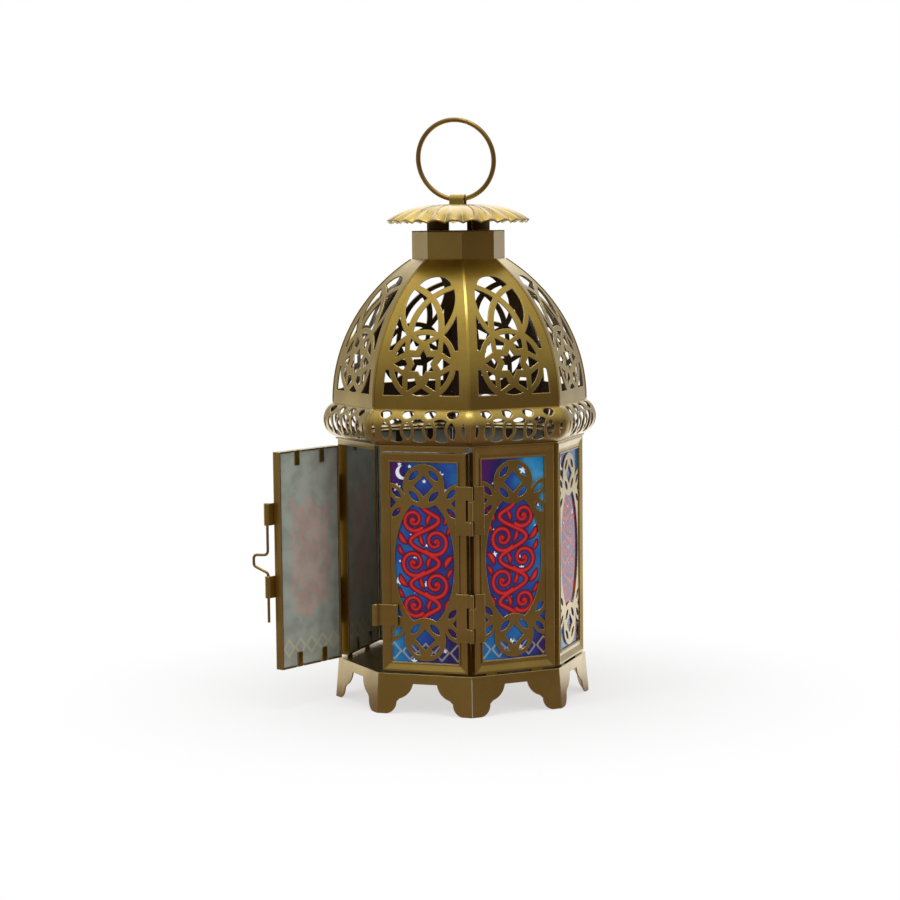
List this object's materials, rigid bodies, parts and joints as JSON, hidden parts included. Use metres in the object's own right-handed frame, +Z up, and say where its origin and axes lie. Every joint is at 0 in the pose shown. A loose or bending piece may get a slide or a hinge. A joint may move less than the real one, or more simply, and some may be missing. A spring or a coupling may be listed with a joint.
{
  "type": "candle lantern",
  "caption": "Eight-sided sheet-metal candle lantern with printed glass panels, hinged doors with a drop-bolt latch, a pierced dome, a fluted vented cap and a hanging ring.",
  "frame": {"origin": "on the standing plane, at the lantern's upright axis", "axes": "+Z up along the lantern's axis, -Y out through the right door, +X to the right of someone who faces that door"},
  "size_m": [0.1308, 0.1201, 0.2555],
  "materials": {
    "sheet_metal": "satin antique gold paint",
    "wire": "satin antique gold paint",
    "pane_glass": "clear glass printed on its face"
  },
  "bodies": {
    "lantern_frame": {"base_stand": "sheet_metal", "candle_cup": "sheet_metal", "cup_rivet": "sheet_metal", "rim_plate": "sheet_metal", "collar": "sheet_metal", "vent_sleeve": "sheet_metal", "cap": "sheet_metal", "ring_strap": "sheet_metal", "side_panel_1": "sheet_metal", "side_panel_2": "sheet_metal", "side_panel_3": "sheet_metal", "side_panel_4": "sheet_metal", "side_panel_5": "sheet_metal", "side_panel_6": "sheet_metal", "side_pane_1": "pane_glass", "side_pane_2": "pane_glass", "side_pane_3": "pane_glass", "side_pane_4": "pane_glass", "side_pane_5": "pane_glass", "side_pane_6": "pane_glass", "right_upper_hinge_fixed_leaf": "sheet_metal", "right_upper_hinge_pin": "wire", "right_lower_hinge_fixed_leaf": "sheet_metal", "right_lower_hinge_pin": "wire", "left_upper_hinge_fixed_leaf": "sheet_metal", "left_upper_hinge_pin": "wire", "left_lower_hinge_fixed_leaf": "sheet_metal", "left_lower_hinge_pin": "wire", "gallery_band_0": "sheet_metal", "gallery_band_1": "sheet_metal", "gallery_band_2": "sheet_metal", "gallery_band_3": "sheet_metal", "gallery_band_4": "sheet_metal", "gallery_band_5": "sheet_metal", "gallery_band_6": "sheet_metal", "gallery_band_7": "sheet_metal", "dome_petal_0": "sheet_metal", "dome_petal_1": "sheet_metal", "dome_petal_2": "sheet_metal", "dome_petal_3": "sheet_metal", "dome_petal_4": "sheet_metal", "dome_petal_5": "sheet_metal", "dome_petal_6": "sheet_metal", "dome_petal_7": "sheet_metal"},
    "left_door": {"left_door": "sheet_metal", "left_door_pane": "pane_glass", "left_upper_hinge_door_leaf": "sheet_metal", "left_lower_hinge_door_leaf": "sheet_metal", "latch_upper_guide": "sheet_metal", "latch_lower_guide": "sheet_metal"},
    "right_door": {"right_door": "sheet_metal", "right_door_pane": "pane_glass", "right_upper_hinge_door_leaf": "sheet_metal", "right_lower_hinge_door_leaf": "sheet_metal", "latch_keeper": "sheet_metal"},
    "latch_bolt": {"latch_bolt": "wire"},
    "hanging_ring": {"hanging_ring": "wire"}
  },
  "joints": [
    {"name": "left_door_hinge", "type": "hinge", "parent": "lantern_frame", "child": "left_door", "pos_m": [-0.05205, -0.02156, 0.06535], "axis": [0, 0, -1], "range_deg": [-65, 60]},
    {"name": "right_door_hinge", "type": "hinge", "parent": "lantern_frame", "child": "right_door", "pos_m": [0.02156, -0.05205, 0.06535], "axis": [0, 0, 1], "range_deg": [0, 125]},
    {"name": "latch_slide", "type": "slide", "parent": "left_door", "child": "latch_bolt", "axis": [0, 0, 1], "range_m": [0, 0.0094]},
    {"name": "ring_swing", "type": "hinge", "parent": "lantern_frame", "child": "hanging_ring", "pos_m": [0, 0, 0.22], "axis": [1, 0, 0], "range_deg": [-103, 87]}
  ]
}
